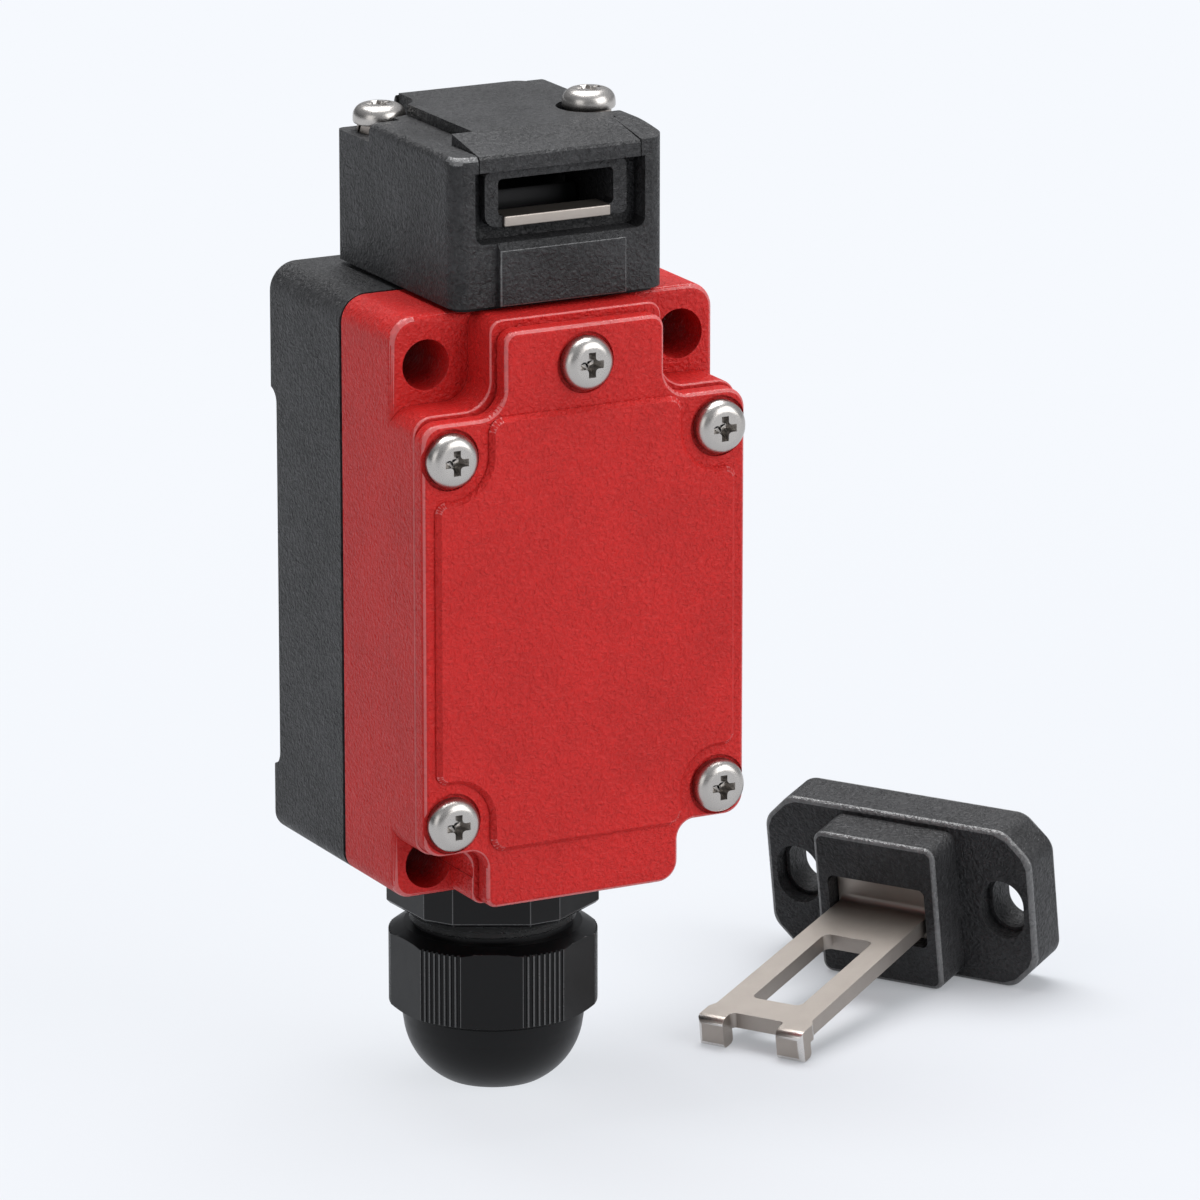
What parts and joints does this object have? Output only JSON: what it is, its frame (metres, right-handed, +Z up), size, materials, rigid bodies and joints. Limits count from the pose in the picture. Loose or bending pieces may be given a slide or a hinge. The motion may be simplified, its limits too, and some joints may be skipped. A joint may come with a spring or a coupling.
{
  "type": "tongue interlock switch",
  "caption": "Key-operated safety switch: split plastic housing with screwed cover, turnable key head, cable gland, and its separate actuator with a hooked steel tongue.",
  "frame": {"origin": "centre of the four mounting holes, on the back mounting face", "axes": "+X to the right seen from the front, +Y out of the back mounting face (the front cover faces -Y), +Z up to the key head"},
  "size_m": [0.0993, 0.0564, 0.1207],
  "materials": {
    "red_shell": "fine grain, satin sheen",
    "dark_shell": "fine spark-eroded grain",
    "black_plastic": "smooth satin",
    "black_rubber": "matt",
    "nickel_steel": "satin nickel plate",
    "steel": "bright satin",
    "spring_steel": "drawn wire",
    "cream_plastic": "matt moulded",
    "grey_plastic": "matt moulded",
    "contact_brass": "bright"
  },
  "bodies": {
    "body": {"rear_housing": "dark_shell", "body_seal": "black_rubber", "front_housing": "red_shell", "body_screws": "steel", "cover_seal": "black_rubber", "cover": "red_shell", "cover_screws": "steel", "contact_block": "cream_plastic", "block_screws": "steel", "fixed_contacts": "contact_brass", "terminal_screws": "steel", "return_spring": "spring_steel", "gland_body": "black_plastic", "gland_seal": "black_rubber", "gland_locknut": "black_plastic", "gland_cage": "black_plastic", "gland_insert": "black_rubber", "gland_nut": "black_plastic"},
    "head": {"turret": "dark_shell", "head_gasket": "black_rubber", "head_housing": "dark_shell", "head_cap": "dark_shell", "slot_frame": "dark_shell", "slot_lip": "nickel_steel", "head_screws": "nickel_steel", "head_spring_washers": "nickel_steel", "cam_axle": "steel", "plunger_seal": "black_rubber"},
    "cam": {"cam_wheel": "steel"},
    "plunger": {"plunger": "steel"},
    "contact_slide": {"contact_carrier": "grey_plastic", "upper_bridge": "contact_brass", "lower_bridge": "contact_brass", "upper_contact_spring": "spring_steel", "lower_contact_spring": "spring_steel"},
    "actuator": {"actuator_base": "dark_shell", "actuator_tongue": "nickel_steel", "tongue_rivets": "nickel_steel"}
  },
  "joints": [
    {"name": "head_turn", "type": "hinge", "parent": "body", "child": "head", "pos_m": [0, -0.0194, 0], "axis": [0, 0, 1], "range_deg": [-180, 180]},
    {"name": "cam_turn", "type": "hinge", "parent": "head", "child": "cam", "pos_m": [0, -0.0194, 0.0456], "axis": [-1, 0, 0], "range_deg": [0, 70]},
    {"name": "plunger_slide", "type": "slide", "parent": "head", "child": "plunger", "axis": [0, 0, 1], "range_m": [0, 0.003]},
    {"name": "contact_slide", "type": "slide", "parent": "body", "child": "contact_slide", "axis": [0, 0, 1], "range_m": [0, 0.003], "deforming": ["return_spring"]},
    {"name": "actuator_withdraw", "type": "slide", "parent": "body", "child": "actuator", "axis": [0.8508, 0.5255, 0], "range_m": [0, 0.028]}
  ],
  "couplings": [
    {"joint": "plunger_slide", "follows": "cam_turn", "m_per_rad": 0.0024555},
    {"joint": "contact_slide", "follows": "cam_turn", "m_per_rad": 0.0024555}
  ]
}
